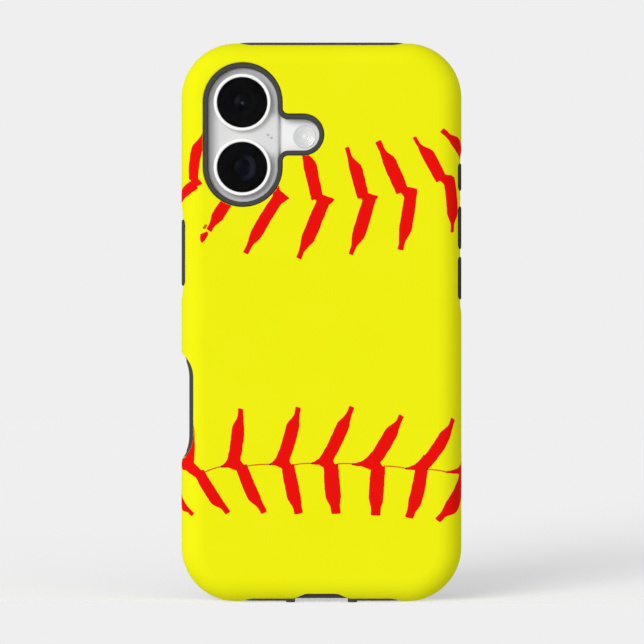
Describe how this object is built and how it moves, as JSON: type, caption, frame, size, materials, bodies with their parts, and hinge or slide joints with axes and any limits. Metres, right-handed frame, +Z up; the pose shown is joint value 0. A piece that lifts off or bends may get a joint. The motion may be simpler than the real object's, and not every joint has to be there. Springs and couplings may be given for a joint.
{
  "type": "smartphone in protective case",
  "caption": "Slab smartphone in a layered protective case: hard shell printed with ball stitching over a soft liner, with press-in side keys, a camera opening and a charging port.",
  "frame": {"origin": "under the middle of the case, on the surface that it stands on", "axes": "+Z up along the phone's height, +Y from the printed back towards the screen, +X to the right as seen from behind"},
  "size_m": [0.077, 0.012, 0.1534],
  "materials": {
    "shell": "satin printed hard plastic",
    "liner": "matte soft rubber",
    "frame": "satin anodised",
    "back_glass": "white-backed, satin",
    "display_glass": "black-backed, polished",
    "display_panel": "black",
    "gasket": "matte",
    "mesh": "fine mesh",
    "lens_ring": "polished",
    "lens_cover": "polished, coated",
    "lens_element": "polished, coated",
    "black_plastic": "matte",
    "camera_metal": "satin",
    "sensor": "polished",
    "flash_lens": "fine ribbed",
    "flash_carrier": "matte",
    "insert": "matte",
    "key": "satin anodised",
    "battery": "black foil pouch",
    "board": "dark solder mask",
    "shield": "plain",
    "coil": "enamelled wire",
    "magnet": "plated",
    "haptic_can": "plain",
    "haptic_mass": "plain",
    "port": "plain",
    "screw": "plain"
  },
  "bodies": {
    "phone_and_case": {"outer_shell": "shell", "inner_liner": "liner", "phone_frame": "frame", "back_glass": "back_glass", "display_glass": "display_glass", "display_panel": "display_panel", "display_gasket": "gasket", "earpiece_mesh": "mesh", "flash_lens": "flash_lens", "flash_led": "flash_carrier", "rear_microphone": "shield", "image_sensors": "sensor", "button_switches": "black_plastic", "battery": "battery", "logic_board": "board", "board_shield": "shield", "charging_coil": "coil", "alignment_magnets": "magnet", "loudspeaker": "black_plastic", "earpiece_speaker": "black_plastic", "bottom_microphone": "shield", "front_camera": "black_plastic", "depth_sensor": "black_plastic", "haptic_case": "haptic_can", "charging_port": "port", "port_tongue": "black_plastic", "bottom_screws": "screw", "antenna_inserts": "insert", "speaker_meshes": "mesh", "upper_lens_ring": "lens_ring", "upper_lens_cover": "lens_cover", "upper_camera_housing": "camera_metal", "lower_lens_ring": "lens_ring", "lower_lens_cover": "lens_cover", "lower_camera_housing": "camera_metal"},
    "power_button": {"power_pad": "liner", "power_key": "key"},
    "action_button": {"action_pad": "liner", "action_key": "key"},
    "volume_up_button": {"volume_up_pad": "liner", "volume_up_key": "key"},
    "volume_down_button": {"volume_down_pad": "liner", "volume_down_key": "key"},
    "camera_button": {"camera_key": "key"},
    "upper_focus": {"upper_lens_barrel": "black_plastic", "upper_lens_element": "lens_element"},
    "lower_focus": {"lower_lens_barrel": "black_plastic", "lower_lens_element": "lens_element"},
    "vibrating_mass": {"haptic_mass": "haptic_mass"}
  },
  "joints": [
    {"name": "power_press", "type": "slide", "parent": "phone_and_case", "child": "power_button", "axis": [1, 0, 0], "range_m": [0, 0.0003], "stiffness_N_per_m": 2000, "springref_m": -0.0001},
    {"name": "action_press", "type": "slide", "parent": "phone_and_case", "child": "action_button", "axis": [-1, 0, 0], "range_m": [0, 0.0003], "stiffness_N_per_m": 2000, "springref_m": -0.0001},
    {"name": "volume_up_press", "type": "slide", "parent": "phone_and_case", "child": "volume_up_button", "axis": [-1, 0, 0], "range_m": [0, 0.0003], "stiffness_N_per_m": 2000, "springref_m": -0.0001},
    {"name": "volume_down_press", "type": "slide", "parent": "phone_and_case", "child": "volume_down_button", "axis": [-1, 0, 0], "range_m": [0, 0.0003], "stiffness_N_per_m": 2000, "springref_m": -0.0001},
    {"name": "camera_press", "type": "slide", "parent": "phone_and_case", "child": "camera_button", "axis": [1, 0, 0], "range_m": [0, 0.0003], "stiffness_N_per_m": 2000, "springref_m": -0.0001},
    {"name": "upper_focus_slide", "type": "slide", "parent": "phone_and_case", "child": "upper_focus", "axis": [0, -1, 0], "range_m": [0, 0.0003], "stiffness_N_per_m": 400, "springref_m": -0.0001},
    {"name": "lower_focus_slide", "type": "slide", "parent": "phone_and_case", "child": "lower_focus", "axis": [0, -1, 0], "range_m": [0, 0.0003], "stiffness_N_per_m": 400, "springref_m": -0.0001},
    {"name": "vibration_slide", "type": "slide", "parent": "phone_and_case", "child": "vibrating_mass", "axis": [1, 0, 0], "range_m": [-0.0005, 0.0005], "stiffness_N_per_m": 800}
  ]
}
